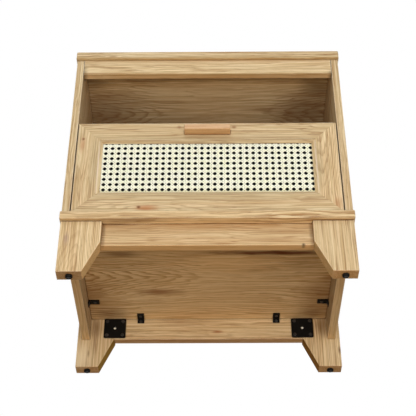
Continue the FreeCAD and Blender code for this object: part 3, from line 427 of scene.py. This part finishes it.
boardCuts = {
    "top_board": {
        "grain": "x", "from": (0.3, 0.11, 0.27), "middle": 0.533, "flame": 25, "tips": (-0.105, 0.135),
        "bold": 0.8, "lines": 0.7, "seamShadow": 0.3,
        "marks": [
            ((-0.2, topFrontY, 0.555), (0.014, 0.02, 0.004), (150, 104, 62), 0.6, 1.0),  # knot
            ((0.01, -0.04, ceilingZ), (0.16, 0.2, 0.003), (244, 208, 154), 0.3),       # painted light on the ceiling's middle
            ((0.0, -0.09, ceilingZ), (0.25, 0.035, 0.003), (236, 222, 184), 0.25),
            ((0.0, -0.128, ceilingZ), (0.6, 0.02, 0.01), (44, 24, 12), 0.5),           # painted shade behind the rail
            ((0.0, topFrontY, ceilingZ), (0.6, 0.012, 0.008), (170, 133, 76), 0.7),    # painted shade on the lower front edge
            ((0.0, 0.036, ceilingZ), (0.6, 0.022, 0.01), (92, 62, 36), 0.35),          # painted shade deep in the niche
            ((-0.06, 0.012, ceilingZ), (0.18, 0.03, 0.01), (110, 76, 46), 0.2),
            ((-0.25, -0.118, ceilingZ), (0.05, 0.03, 0.02), (44, 26, 14), 0.45),       # painted shade in corners and ends
            ((0.24, -0.1, ceilingZ), (0.05, 0.05, 0.02), (44, 26, 14), 0.42),
            ((0.214, -0.01, ceilingZ - 0.002), (0.085, 0.09, 0.012), (132, 92, 56), 0.5),
            ((-0.235, -0.01, ceilingZ - 0.002), (0.1, 0.1, 0.012), (134, 94, 57), 0.5)]},
    "base_board": {
        "grain": "x", "from": (1.7, 0.42, 0.13), "middle": 0.131, "flame": 25, "tips": (-0.01, 0.6),
        "bold": 1.2, "tone": 1.06, "lines": 0.72,
        "marks": [
            ((0.0, 0.05, undersideZ), (0.3, 0.3, 0.002), (255, 212, 150), 0.36),       # painted light on the underside's middle
            ((0.04, -0.045, undersideZ), (0.14, 0.045, 0.002), (255, 214, 154), 0.36),
            ((0.13, -0.0735, undersideZ), (0.17, 0.0105, 0.012), (104, 54, 24), 0.95),  # darker bands
            ((-0.1, 0.064, undersideZ), (0.06, 0.014, 0.012), (146, 92, 52), 0.75),
            ((0.245, 0.08, undersideZ), (0.07, 0.09, 0.012), (132, 90, 52), 0.55),     # painted shade at ends and corners
            ((-0.25, 0.08, undersideZ), (0.06, 0.09, 0.012), (132, 90, 52), 0.5),
            ((-0.21, 0.145, undersideZ), (0.055, 0.03, 0.012), (104, 66, 34), 0.5),
            ((0.222, 0.145, undersideZ), (0.045, 0.03, 0.012), (104, 66, 34), 0.5),
            ((-0.17, -0.07, undersideZ), (0.05, 0.014, 0.012), (104, 58, 28), 0.6),
            ((0.19, -0.03, undersideZ), (0.04, 0.04, 0.012), (120, 76, 40), 0.15),
            ((-0.15, -0.18, undersideZ), (0.09, 0.012, 0.004), (104, 64, 32), 0.5),    # painted shade under the front edge
            # a stain on the front edge
            ((-0.2, -0.187, 0.131), (0.08, 0.02, 0.008), (176, 136, 88), 0.35)]},
    "niche_shelf": {"grain": "x", "from": (2.9, 0.73, 0.31), "middle": 0.33},
    "top_front_rail": {
        "grain": "x", "from": (4.1, 1.04, 0.59), "middle": 0.34, "fine": 1.5,
        "bold": 0.5, "tone": 1.04, "lines": 0.6, "seamShadow": 0.35,
        "marks": [
            ((0.0, -0.165, railLowZ), (0.6, 0.1, 0.0012), (210, 164, 106), 0.5),       # painted shade on the underside
            ((0.0, frontY, ceilingZ), (0.6, 0.02, 0.014), (180, 140, 92), 0.4),        # painted shade under the top
            ((0.0, frontY, railLowZ), (0.6, 0.006, 0.005), (170, 133, 76), 0.6),       # painted shade on the lower edges
            ((0.0, -0.164, railLowZ), (0.6, 0.003, 0.003), (60, 36, 20), 0.6),
            ((-0.262, -0.172, 0.51), (0.012, 0.03, 0.03), (70, 44, 24), 0.6),          # painted shade at the ends
            ((0.262, -0.172, 0.508), (0.01, 0.03, 0.012), (70, 44, 24), 0.6)]},
    "front_apron": {
        "grain": "x", "from": (5.3, 1.35, 0.17), "middle": -0.12, "fine": 1.9,
        "bold": 0.7, "lines": 0.72, "seamShadow": 0.5,
        "marks": [
            ((0.0, -0.17, 0.095), (0.8, 0.2, 0.2), (204, 160, 108), 0.2),              # warmer all over
            ((0.0, -0.172, undersideZ), (0.8, 0.02, 0.018), (182, 130, 76), 0.35),     # painted shade under the base
            ((0.0, -0.165, apronLowZ), (0.6, 0.1, 0.0012), (240, 190, 124), 0.6),      # painted light on the underside, warm
            ((0.179, -0.172, 0.0716), (0.0045, 0.02, 0.0035), (36, 20, 10), 1.0),      # small knot
            ((-0.196, -0.172, 0.1), (0.006, 0.02, 0.06), (90, 54, 28), 0.6),           # painted shade beside the legs
            ((0.196, -0.172, 0.1), (0.006, 0.02, 0.06), (90, 54, 28), 0.5),
            ((-0.175, -0.172, undersideZ), (0.05, 0.02, 0.006), (84, 50, 26), 0.5)]},
    "rear_apron": {
        "grain": "x", "from": (6.5, 1.66, 0.45), "middle": 0.25, "fine": 1.5,
        "bold": 0.7, "tone": 1.05, "lines": 0.65, "seamShadow": 0.5,
        "marks": [
            ((0.0185, rearFaceY, 0.0884), (0.014, 0.02, 0.005), (168, 108, 68), 0.8, 1.5),  # knot
            ((0.0, 0.175, apronLowZ), (0.6, 0.1, 0.0012), (190, 128, 62), 0.5),        # painted shade on the underside
            # painted shade on the face
            ((-0.06, rearFaceY, 0.105), (0.07, 0.02, 0.004), (150, 104, 62), 0.45),
            ((-0.005, rearFaceY, 0.077), (0.05, 0.02, 0.005), (160, 112, 68), 0.35),
            plateHoleLight(-1), plateHoleLight(1)]},
    "left_apron": {
        "grain": "y", "from": (10.1, 2.59, 0.39), "middle": 0.35, "fine": 1.5, "bold": 0.8, "seamShadow": 0.4,
        # painted light on the underside
        "marks": [((-0.255, 0.0, apronLowZ), (0.1, 0.4, 0.0012), (255, 216, 160), 0.42)]},
    "right_apron": {
        "grain": "y", "from": (11.3, 2.9, 0.67), "middle": -0.16, "fine": 1.5, "bold": 0.8, "seamShadow": 0.4,
        # painted light on the underside
        "marks": [((0.255, 0.0, apronLowZ), (0.1, 0.4, 0.0012), (255, 220, 166), 0.42)]},
    "left_side_panel": {
        "grain": "z", "from": (12.5, 3.21, 0.95), "middle": 0.25, "flame": 20, "tips": (0.5, 2.0), "fine": 1.2,
        "bold": 0.8, "seamShadow": 0.4,
        "marks": [((-0.261, 0.02, 0.5), (0.01, 0.16, 0.13), (138, 98, 60), 0.42)]},    # painted shade on the niche wall
    "right_side_panel": {
        "grain": "z", "from": (13.7, 3.52, 1.23), "middle": -0.25, "flame": 20, "tips": (0.5, 2.0), "fine": 1.2,
        "bold": 0.8, "seamShadow": 0.4,
        # painted shade on the niche wall
        "marks": [((0.261, 0.02, 0.5), (0.01, 0.16, 0.13), (138, 98, 60), 0.46)]},
    "front_left_leg": {
        "grain": "z", "from": (14.9, 3.83, 1.51), "middle": 0.066, "flame": 30, "tips": (0.11, 2.0), "fine": 1.9,
        "bold": 0.3, "tone": 1.04, "lines": 0.65, "sway": 0.3, "paintedSlant": ((250, 205, 138), 0.6),
        "marks": [
            footShade(-0.2525, -0.165, (152, 100, 52)),
            ((-0.262, -0.1785, 0.08), (0.007, 0.02, 0.02), (168, 142, 128), 0.6, 0.5)]},
    "front_right_leg": {
        "grain": "z", "from": (16.1, 4.14, 1.79), "middle": -0.46, "fine": 1.9,
        "bold": 0.25, "lines": 0.8, "sway": 0.2, "paintedSlant": ((250, 205, 138), 0.6),
        "marks": [footShade(0.2525, -0.165)]},
    "rear_left_leg": {
        "grain": "z", "from": (17.3, 4.45, 2.07), "middle": 0.41, "fine": 1.6, "bold": 0.2, "tone": 1.04,
        "lines": 0.7, "sway": 0.3, "seamShadow": 0.4, "edge": 0.3, "paintedSlant": ((166, 128, 48), 0.88),
        "marks": [
            footShade(-0.2525, 0.182),
            ((-0.264, rearFaceY, 0.03), (0.024, 0.02, 0.045), (255, 236, 198), 0.55),  # painted light, paler below
            ((-0.238, rearFaceY, 0.102), (0.017, 0.02, 0.035), (112, 78, 46), 0.6),    # painted shade beside the side apron
            # small dark marks
            ((-0.2395, rearFaceY, 0.068), (0.0036, 0.02, 0.045), (142, 102, 72), 0.55, 0.5),
            ((-0.251, rearFaceY, 0.037), (0.003, 0.02, 0.012), (124, 88, 60), 0.6),
            plateHoleLight(-1)]},
    "rear_right_leg": {
        "grain": "z", "from": (18.5, 4.76, 2.35), "middle": -0.1, "fine": 1.6, "bold": 0.2, "tone": 1.06,
        "lines": 0.7, "sway": 0.3, "seamShadow": 0.4, "edge": 0.3, "paintedSlant": ((150, 101, 32), 0.88),
        "marks": [
            footShade(0.2525, 0.182),
            # painted light, paler below
            ((0.256, rearFaceY, 0.035), (0.025, 0.02, 0.035), (255, 236, 198), 0.15),
            # painted shade beside the side apron
            ((0.24, rearFaceY, 0.102), (0.017, 0.02, 0.035), (112, 78, 46), 0.6),
            # a small dark mark
            ((0.2735, rearFaceY, 0.043), (0.004, 0.02, 0.014), (112, 78, 54), 0.8, 0.5),
            plateHoleLight(1)]},
    "drawer_top_rail": {
        "grain": "x", "from": (7.7, 1.97, 0.73), "middle": 0.16, "fine": 1.9, "bold": 0.5, "lines": 0.68,
        "mitred": True,
        "marks": [
            ((0.0, frontY, 0.3255), (0.4, 0.02, 0.015), (160, 142, 108), 0.35),        # painted shade on the bevel round the cane
            ((0.0, frontY, 0.3145), (0.4, 0.02, 0.004), (120, 86, 46), 0.5),
            ((-0.0565, frontY, 0.3565), (0.006, 0.02, 0.006), (156, 112, 78), 0.8, 1.0),  # beside the pull
            ((0.0535, frontY, 0.3555), (0.0065, 0.02, 0.005), (146, 98, 64), 0.8, 1.0)]},
    "drawer_bottom_rail": {
        "grain": "x", "from": (8.9, 2.28, 0.11), "middle": -0.012, "fine": 1.9, "bold": 0.5, "lines": 0.68,
        "mitred": True,
        "marks": [
            # painted shade on the bevel round the cane
            ((0.0, frontY, 0.178), (0.4, 0.02, 0.014), (160, 146, 112), 0.3),
            ((-0.1165, frontY, 0.1504), (0.028, 0.02, 0.009), (182, 118, 72), 0.72, 2.0),  # large knot
            ((-0.1307, frontY, 0.1523), (0.005, 0.02, 0.0045), (116, 70, 42), 0.9)]},
    "drawer_left_stile": {
        "grain": "z", "from": (19.7, 5.07, 2.63), "middle": 0.075, "fine": 2.1, "bold": 0.6, "tone": 1.01,
        "mitred": True,
        "marks": [
            ((-0.2478, frontY, 0.31), (0.008, 0.02, 0.026), (186, 128, 86), 0.6, 1.0),  # knot at the edge
            ((-0.2472, frontY, 0.3255), (0.0035, 0.02, 0.005), (126, 76, 46), 0.9),
            # painted shade on the bevel
            ((-0.2205, frontY, 0.2535), (0.014, 0.02, 0.1), (160, 146, 114), 0.35),
            ((-0.214, frontY, 0.2535), (0.0013, 0.02, 0.09), (240, 222, 206), 0.8)]},  # painted highlight on the bevel's arris
    "drawer_right_stile": {
        "grain": "z", "from": (20.9, 5.38, 2.91), "middle": -0.405, "flame": 25, "tips": (-1.0, 0.2),
        "fine": 1.9, "bold": 0.6, "tone": 1.04, "mitred": True,
        "marks": [
            ((0.249, frontY, 0.16), (0.01, 0.02, 0.02), (180, 126, 84), 0.55, 1.0),
            # painted shade on the bevel
            ((0.2175, frontY, 0.2535), (0.014, 0.02, 0.1), (160, 146, 114), 0.35),
            # painted highlight on the bevel's arris
            ((0.214, frontY, 0.2535), (0.0013, 0.02, 0.09), (240, 222, 206), 0.7)]},
}
for node, cut in boardCuts.items():
    dress(node, oakFinish("oak_" + node, cut, oakLook))
print("oak boards dressed:", len(boardCuts))


# drawer box and back: the same print, paler and quieter

boxLook = {
    "pale": (228, 204, 164), "honey": (208, 179, 136), "rose": (212, 174, 130),
    "grey": (200, 180, 142), "ring": (178, 140, 96), "pore": (150, 115, 76), "strength": 0.7}
boxCuts = {
    "drawer_left_side": {"grain": "y", "from": (22.1, 0.2, 0.4), "middle": 0.5},
    "drawer_right_side": {"grain": "y", "from": (23.3, 0.6, 0.8)},
    "drawer_back": {"grain": "x", "from": (24.5, 1.0, 1.2), "middle": 0.38, "flame": 20, "tips": (-0.1, 2.0)},
    "drawer_bottom": {"grain": "x", "from": (25.7, 1.4, 1.6), "middle": 0.15, "flame": 20, "tips": (0.0, 2.0)},
    "back_panel": {"grain": "z", "from": (26.9, 1.8, 2.0), "middle": 0.2, "flame": 20, "tips": (-1.0, 0.25)},
}
for node, cut in boxCuts.items():
    dress(node, oakFinish("print_" + node, cut, boxLook, boxLook["strength"]))
print("drawer box and back dressed:", len(boxCuts))


# pull: pinkish beech with short flecks

pullLook = {
    "pale": (214, 174, 126), "warm": (188, 141, 91), "fleck": (146, 97, 56), "fleckShare": 0.45,
    "roughness": (0.38, 0.52), "relief": 0.0001, "edgeRadius": 0.0008,
    "streakPerMetre": (14.0, 380.0, 380.0),
    "broadPerMetre": (6.0, 60.0, 60.0),
    "fleckPerMetre": (160.0, 1500.0, 1500.0),
}


def beechFinish():
    finish, tree, shader, place = newFinish("beech_pull")
    streak = noiseAt(tree, place, pullLook["streakPerMetre"], 3.0, 0.6)
    broad = noiseAt(tree, place, pullLook["broadPerMetre"], 1.0)
    fleck = spread(tree, noiseAt(tree, place, pullLook["fleckPerMetre"], 1.0), 0.6, 0.7)
    tone = spread(tree, plus(tree, streak, times(tree, broad, 0.5)), 0.5, 1.0)
    colour = blendColour(tree, tone, paint(*pullLook["pale"]), paint(*pullLook["warm"]))
    flecked = times(tree, fleck, pullLook["fleckShare"])
    wire(tree, blendColour(tree, flecked, colour, paint(*pullLook["fleck"])), shader.inputs["Base Color"])
    wire(tree, spread(tree, streak, 0.2, 0.8, *pullLook["roughness"]), shader.inputs["Roughness"])
    eased = roundedNormal(tree, pullLook["edgeRadius"])
    bumpOn(tree, shader, minus(tree, streak, fleck), pullLook["relief"], strength=0.5, normal=eased)
    return finish


dress("pull_bar", beechFinish())
print("pull dressed")


# speckled finishes: a base colour with two scales of mottling, used for metal, plastic and raw wood

def speckFinish(name, look):
    finish, tree, shader, place = newFinish(name)
    fine = noiseAt(tree, place, look["finePerMetre"])
    broad = noiseAt(tree, place, look["broadPerMetre"])
    mixed = plus(tree, times(tree, fine, 0.6), times(tree, broad, 0.6))
    share = spread(tree, mixed, 0.35, 0.85)
    wire(tree, blendColour(tree, share, paint(*look["dark"]), paint(*look["light"])), shader.inputs["Base Color"])
    wire(tree, spread(tree, mixed, 0.35, 0.85, *look["roughness"]), shader.inputs["Roughness"])
    shader.inputs["Metallic"].default_value = look["metal"]
    shader.inputs["Specular IOR Level"].default_value = look["specular"]
    eased = roundedNormal(tree, look["edge"]) if look["edge"] else None
    bumpOn(tree, shader, fine, look["relief"], strength=0.6, normal=eased)
    return finish


speckLooks = {
    "black_metal": {
        "dark": (4, 4, 4), "light": (12, 11, 10), "roughness": (0.45, 0.62), "metal": 0.0, "specular": 0.18,
        "finePerMetre": (1600, 1600, 1600), "broadPerMetre": (90, 90, 90), "relief": 0.00004, "edge": 0.0004},
    "coated_screw": {
        "dark": (40, 38, 36), "light": (88, 85, 82), "roughness": (0.3, 0.45), "metal": 0.5, "specular": 0.5,
        "finePerMetre": (1500, 1500, 1500), "broadPerMetre": (300, 300, 300), "relief": 0.00003, "edge": 0.0003},
    "black_plastic": {
        "dark": (10, 9, 8), "light": (24, 21, 18), "roughness": (0.5, 0.7), "metal": 0.0, "specular": 0.2,
        "finePerMetre": (2200, 2200, 2200), "broadPerMetre": (150, 150, 150), "relief": 0.00005, "edge": 0.0006},
    "black_backing": {
        "dark": (6, 6, 5), "light": (14, 13, 12), "roughness": (0.75, 0.95), "metal": 0.0, "specular": 0.12,
        "finePerMetre": (700, 700, 700), "broadPerMetre": (30, 30, 30), "relief": 0.00005, "edge": 0.0},
    "slide_steel": {
        "dark": (150, 153, 158), "light": (192, 195, 198), "roughness": (0.26, 0.42), "metal": 1.0, "specular": 0.5,
        "finePerMetre": (1500, 60, 1500), "broadPerMetre": (40, 25, 40), "relief": 0.00002, "edge": 0.0003},
    "cage_steel": {
        "dark": (140, 142, 146), "light": (182, 184, 187), "roughness": (0.28, 0.45), "metal": 1.0, "specular": 0.5,
        "finePerMetre": (900, 300, 900), "broadPerMetre": (60, 60, 60), "relief": 0.00002, "edge": 0.0002},
    "zinc_fitting": {
        "dark": (128, 130, 134), "light": (170, 172, 174), "roughness": (0.4, 0.58), "metal": 1.0, "specular": 0.5,
        "finePerMetre": (1400, 1400, 1400), "broadPerMetre": (120, 120, 120), "relief": 0.00004, "edge": 0.0003},
    "bright_screw": {
        "dark": (160, 162, 164), "light": (202, 203, 204), "roughness": (0.24, 0.4), "metal": 1.0, "specular": 0.5,
        "finePerMetre": (1200, 1200, 1200), "broadPerMetre": (200, 200, 200), "relief": 0.00002, "edge": 0.0002},
    "plain_wood": {
        "dark": (196, 164, 118), "light": (226, 198, 152), "roughness": (0.55, 0.75), "metal": 0.0, "specular": 0.3,
        "finePerMetre": (90, 900, 900), "broadPerMetre": (20, 60, 60), "relief": 0.00006, "edge": 0.0},
}
speckFinishes = {slot: speckFinish(slot + "_finish", look) for slot, look in speckLooks.items()}
for part in frame["record"]["subparts"]:
    if part["material_slot"] in speckFinishes:
        dress(part["node"], speckFinishes[part["material_slot"]])
for screws in ("plate_screws", "bracket_screws"):
    dress(screws, speckFinishes["coated_screw"])
print("metal, plastic and raw wood dressed:", len(speckFinishes), "finishes")


# cane: pairs of strands up and across, and single ones along both diagonals, woven over and under

caneLook = {
    "holeAt": (0.0018, 0.2520),      # x and z of the middle of one hole
    "pitch": (0.0127, 0.01322),      # from hole to hole, across and up
    "strandWidth": 0.0020,
    "strandThickness": 0.00042,
    "pairGap": 0.0028,               # between the two strands of a pair, middle to middle
    "pairWave": 0.00032,
    "slantWave": 0.00044,
    "stepsPerHole": 4,
    "edgeRoom": 0.0006,
    "shortest": 0.004,               # a slanting strand's least reach to the side
    "sideRoom": 0.3,                 # slanting strands start this far out, and are clipped
    "cream": (255, 255, 240), "straw": (254, 255, 224), "shade": (226, 220, 168), "shadeShare": 0.35,
    # painted shadow of the frame on the cane near its edges: colour, strength and width
    "frameShadow": (206, 190, 130), "frameShadowShare": 0.6, "frameShadowWidth": 0.0035,
    "shownMiddle": (-0.0015, 0.257),      # x and z of the middle of what the frame leaves open
    "shownHalf": (0.208, 0.0613),
    "tonePerMetre": (70.0, 70.0, 70.0),
    "fibrePerStrand": (30.0, 14.0, 1.0),  # along and across
    "roughness": (0.34, 0.5), "relief": 0.00005,
}


def caneFinish():
    finish, tree, shader, place = newFinish("cane_strands")
    spots = tree.nodes.new("ShaderNodeUVMap")
    spots.uv_map = "strandMap"
    strand = spots.outputs["UV"]
    tone = noiseAt(tree, place, caneLook["tonePerMetre"])
    fibre = noiseAt(tree, strand, caneLook["fibrePerStrand"])
    mixed = spread(tree, plus(tree, times(tree, tone, 0.6), times(tree, fibre, 0.5)), 0.4, 0.8)
    colour = blendColour(tree, mixed, paint(*caneLook["cream"]), paint(*caneLook["straw"]))
    edge = spread(tree, apart(tree, splitAxes(tree, strand)["Y"], 0.5), 0.36, 0.5)
    edge = times(tree, edge, caneLook["shadeShare"])
    colour = blendColour(tree, edge, colour, paint(*caneLook["shade"]))
    # painted shadow of the frame on the cane, fading within a few millimetres of what the frame leaves open
    axes = splitAxes(tree, place)
    room = [minus(tree, half, apart(tree, axes[axis], middle))
            for axis, middle, half in zip("XZ", caneLook["shownMiddle"], caneLook["shownHalf"])]
    nearest = mathStep(tree, "MINIMUM", *room)
    frameShadow = spread(tree, nearest, 0.0, caneLook["frameShadowWidth"], caneLook["frameShadowShare"], 0.0)
    wire(tree, blendColour(tree, frameShadow, colour, paint(*caneLook["frameShadow"])), shader.inputs["Base Color"])
    wire(tree, spread(tree, fibre, 0.2, 0.8, *caneLook["roughness"]), shader.inputs["Roughness"])
    bumpOn(tree, shader, fibre, caneLook["relief"], strength=0.5)
    return finish


def addStrand(bm, start, end, wave, steps):  # a flat ribbon from start to end, facing out of the drawer's front
    along = end - start
    across = Vector((0, -1, 0)).cross(along.normalized()) * caneLook["strandWidth"]
    turn = Matrix((along, across, (0, -1, 0))).transposed().to_4x4()
    placed = Matrix.Translation((start + end) / 2) @ turn
    made = bmesh.ops.create_grid(bm, x_segments=steps, y_segments=1, size=0.5, matrix=placed, calc_uvs=True)
    for vert in made["verts"]:
        vert.co.y -= wave(vert.co.x, vert.co.z)


def clipLine(point, slope, low, high):  # the stretch of a slanting line that lies inside the sheet
    xs = sorted(point[0] + (z - point[1]) / slope for z in (low[1], high[1]))
    left, right = max(xs[0], low[0]), min(xs[1], high[0])
    if right - left <= caneLook["shortest"]:
        return None
    return [(x, point[1] + (x - point[0]) * slope) for x in (left, right)]


def inRange(origin, pitch, least, most, spare):  # the places, one pitch apart, that keep off both ends
    first = math.ceil((least + spare - origin) / pitch)
    last = math.floor((most - spare - origin) / pitch)
    return [origin + pitch * count for count in range(first, last + 1)]


def weaveStrands(bm, low, high):
    room = caneLook["edgeRoom"]
    lowEnd, highEnd = (low.x + room, low.z + room), (high.x - room, high.z - room)
    middleY = (low.y + high.y) / 2
    holeX, holeZ = caneLook["holeAt"]
    pitchX, pitchZ = caneLook["pitch"]
    halfGap, steps = caneLook["pairGap"] / 2, caneLook["stepsPerHole"]
    pairWave, slantWave = caneLook["pairWave"], caneLook["slantWave"]
    turnX, turnZ = 2 * math.pi / pitchX, 2 * math.pi / pitchZ
    crossX, crossZ = holeX + pitchX / 2, holeZ + pitchZ / 2  # where an upright and a level pair cross
    spare = halfGap + caneLook["strandWidth"] / 2
    upSteps = round((highEnd[1] - lowEnd[1]) / pitchZ * steps)
    levelSteps = round((highEnd[0] - lowEnd[0]) / pitchX * steps)
    sideRoom = caneLook["sideRoom"]

    def point(x, z):
        return Vector((x, middleY, z))

    for side in (-1, 1):
        def waveUp(x, z, side=side):
            return side * pairWave * math.sin(turnZ * (z - crossZ))

        def waveLevel(x, z, side=side):
            return -side * pairWave * math.sin(turnX * (x - crossX))

        def waveSlant(x, z, side=side):
            return side * slantWave * math.cos(turnX * (x - crossX))

        for x in inRange(crossX, pitchX, lowEnd[0], highEnd[0], spare):
            shifted = x + side * halfGap
            addStrand(bm, point(shifted, lowEnd[1]), point(shifted, highEnd[1]), waveUp, upSteps)
        for z in inRange(crossZ, pitchZ, lowEnd[1], highEnd[1], spare):
            shifted = z + side * halfGap
            addStrand(bm, point(lowEnd[0], shifted), point(highEnd[0], shifted), waveLevel, levelSteps)
        for x in inRange(crossX, pitchX, lowEnd[0] - sideRoom, highEnd[0] + sideRoom, 0):
            ends = clipLine((x, holeZ), side * pitchZ / pitchX, lowEnd, highEnd)
            if ends:
                count = max(2, round(abs(ends[1][0] - ends[0][0]) / pitchX * steps))
                addStrand(bm, point(*ends[0]), point(*ends[1]), waveSlant, count)


def makeCane():
    bm = bmesh.new()
    bm.loops.layers.uv.new("strandMap")
    weaveStrands(bm, *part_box("cane_webbing"))
    for face in bm.faces:
        face.smooth = True
    mesh = bpy.data.meshes.new("woven_cane")
    bm.to_mesh(mesh)
    bm.free()
    cane = bpy.data.objects.new("woven_cane", mesh)
    scene.collection.objects.link(cane)
    mesh.materials.append(caneFinish())
    thick = cane.modifiers.new("strandThickness", "SOLIDIFY")
    thick.thickness = caneLook["strandThickness"]
    thick.offset = 0.0
    return cane


cane = makeCane()
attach(cane, "drawer")
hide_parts("cane_webbing")
print("cane woven:", len(cane.data.polygons), "faces before thickness")


# studio: a pale floor that shows only from above, soft lamps, and the photograph's low camera

coolWhite, plainWhite, sideWhite = (0.96, 0.99, 1.0), (0.97, 0.99, 1.0), (1.0, 0.99, 0.97)
lowWhite, amber = (1.0, 0.93, 0.88), (1.0, 0.72, 0.45)
studio = {
    "floorSize": 8.0,
    "floorColour": (244, 243, 241),
    "floorRoughness": 0.9,
    "floorSpecular": 0.1,
    "floorFade": (1.0, 3.2),  # metres from the middle, over which the floor gives way to white
    "ambient": 0.005,
    "lamps": {  # place, aimed at, width, height, watts, colour
        "frontLamp": ((0.0, -2.4, 0.5), (0, 0, 0.3), 1.6, 1.0, 8.0, coolWhite),
        "lowFrontLamp": ((0.0, -2.4, -0.7), (0, 0, 0.3), 1.6, 1.0, 18.4, coolWhite),
        "leftLamp": ((-1.6, -1.9, 0.2), (0, 0, 0.3), 1.0, 1.4, 2.4, coolWhite),
        "rightLamp": ((1.6, -1.9, 0.2), (0, 0, 0.3), 1.0, 1.4, 4.8, coolWhite),
        "lowLeftLamp": ((-1.3, -1.8, -0.9), (0, 0, 0.3), 1.0, 1.0, 4.2, lowWhite),
        "lowRightLamp": ((1.3, -1.8, -0.9), (0, 0, 0.3), 1.0, 1.0, 9.7, lowWhite),
        "underLamp": ((0.0, -1.2, -1.6), (0, 0, 0.2), 1.4, 1.0, 12.5, amber),
        "topLamp": ((0.0, -1.8, 2.0), (0, 0, 0.35), 1.8, 1.4, 23.5, plainWhite),
        "overheadLamp": ((0.0, 0.35, 2.5), (0, 0.1, 0.3), 2.4, 2.4, 15.0, sideWhite),
        "leftSideLamp": ((-2.4, 0.3, 1.3), (0, 0, 0.3), 1.6, 1.4, 25.0, sideWhite),
        "rightSideLamp": ((2.4, 0.3, 1.3), (0, 0, 0.3), 1.6, 1.4, 25.0, sideWhite),
        "backLamp": ((0.0, 2.6, 1.3), (0, 0, 0.3), 1.8, 1.6, 38.0, sideWhite),
    },
    "cameraPlace": (0.01447, -1.77705, -1.09831),
    "cameraLift": 37.98,     # degrees that the camera looks up
    "cameraTurn": 0.468,     # degrees towards the left
    "cameraRoll": 0.05,
    "cameraLens": 92.56,
    "cameraSensor": 36.0,
}


def seenShare(tree):  # 1 for what the camera sees, straight or in gloss and glass, 0 for soft light
    rays = tree.nodes.new("ShaderNodeLightPath").outputs
    seen = mathStep(tree, "MAXIMUM", rays["Is Camera Ray"], rays["Is Glossy Ray"])
    return mathStep(tree, "MAXIMUM", seen, rays["Is Transmission Ray"])


def chooseShader(tree, share, first, second, output):
    choose = tree.nodes.new("ShaderNodeMixShader")
    for socket, value in zip(choose.inputs, (share, first, second)):
        wire(tree, value, socket)
    wire(tree, choose.outputs["Shader"], output.inputs["Surface"])


def floorFinish():  # clear from below, far out, and to soft light, so it throws none back
    finish, tree, shader, place = newFinish("floor_paper")
    wire(tree, paint(*studio["floorColour"]), shader.inputs["Base Color"])
    shader.inputs["Roughness"].default_value = studio["floorRoughness"]
    shader.inputs["Specular IOR Level"].default_value = studio["floorSpecular"]
    clear = tree.nodes.new("ShaderNodeBsdfTransparent")
    below = tree.nodes.new("ShaderNodeNewGeometry").outputs["Backfacing"]
    hidden = mathStep(tree, "MAXIMUM", below, spread(tree, lengthOf(tree, place), *studio["floorFade"]))
    hidden = mathStep(tree, "MAXIMUM", hidden, minus(tree, 1.0, seenShare(tree)))
    output = next(node for node in tree.nodes if node.type == "OUTPUT_MATERIAL")
    chooseShader(tree, hidden, shader.outputs["BSDF"], clear.outputs["BSDF"], output)
    return finish


def makeFloor():
    bm = bmesh.new()
    bmesh.ops.create_grid(bm, x_segments=8, y_segments=8, size=studio["floorSize"] / 2)
    mesh = bpy.data.meshes.new("studio_floor")
    bm.to_mesh(mesh)
    bm.free()
    floor = bpy.data.objects.new("studio_floor", mesh)
    scene.collection.objects.link(floor)
    mesh.materials.append(floorFinish())
    floor.visible_shadow = False  # the low lamps shine up through it


def makeLamps():
    for name, (place, aim, width, height, watts, colour) in studio["lamps"].items():
        lamp = bpy.data.lights.new(name, "AREA")
        lamp.shape = "ELLIPSE"
        lamp.size = width
        lamp.size_y = height
        lamp.energy = watts
        lamp.color = colour
        stand = bpy.data.objects.new(name, lamp)
        stand.location = place
        stand.rotation_euler = (Vector(aim) - Vector(place)).to_track_quat("-Z", "Y").to_euler()
        stand.visible_camera = False
        scene.collection.objects.link(stand)


def makeWorld():
    world = bpy.data.worlds.new("white_studio")
    scene.world = world
    world.use_nodes = True
    tree = world.node_tree
    tree.nodes.clear()
    soft = tree.nodes.new("ShaderNodeBackground")
    white = tree.nodes.new("ShaderNodeBackground")
    soft.inputs["Strength"].default_value = studio["ambient"]
    for back in (soft, white):
        back.inputs["Color"].default_value = (1, 1, 1, 1)
    output = tree.nodes.new("ShaderNodeOutputWorld")
    chooseShader(tree, seenShare(tree), soft.outputs["Background"], white.outputs["Background"], output)


def makeCamera():
    data = bpy.data.cameras.new("photo_camera")
    data.lens = studio["cameraLens"]
    data.sensor_width = studio["cameraSensor"]
    camera = bpy.data.objects.new("photo_camera", data)
    camera.location = studio["cameraPlace"]
    lift, turn, roll = (math.radians(studio[key]) for key in ("cameraLift", "cameraTurn", "cameraRoll"))
    facing = Matrix.Rotation(turn, 3, "Z") @ Matrix.Rotation(math.pi / 2 + lift, 3, "X")
    camera.rotation_euler = (facing @ Matrix.Rotation(roll, 3, "Z")).to_euler()
    scene.collection.objects.link(camera)
    scene.camera = camera


makeFloor()
makeLamps()
makeWorld()
makeCamera()
print("studio ready")
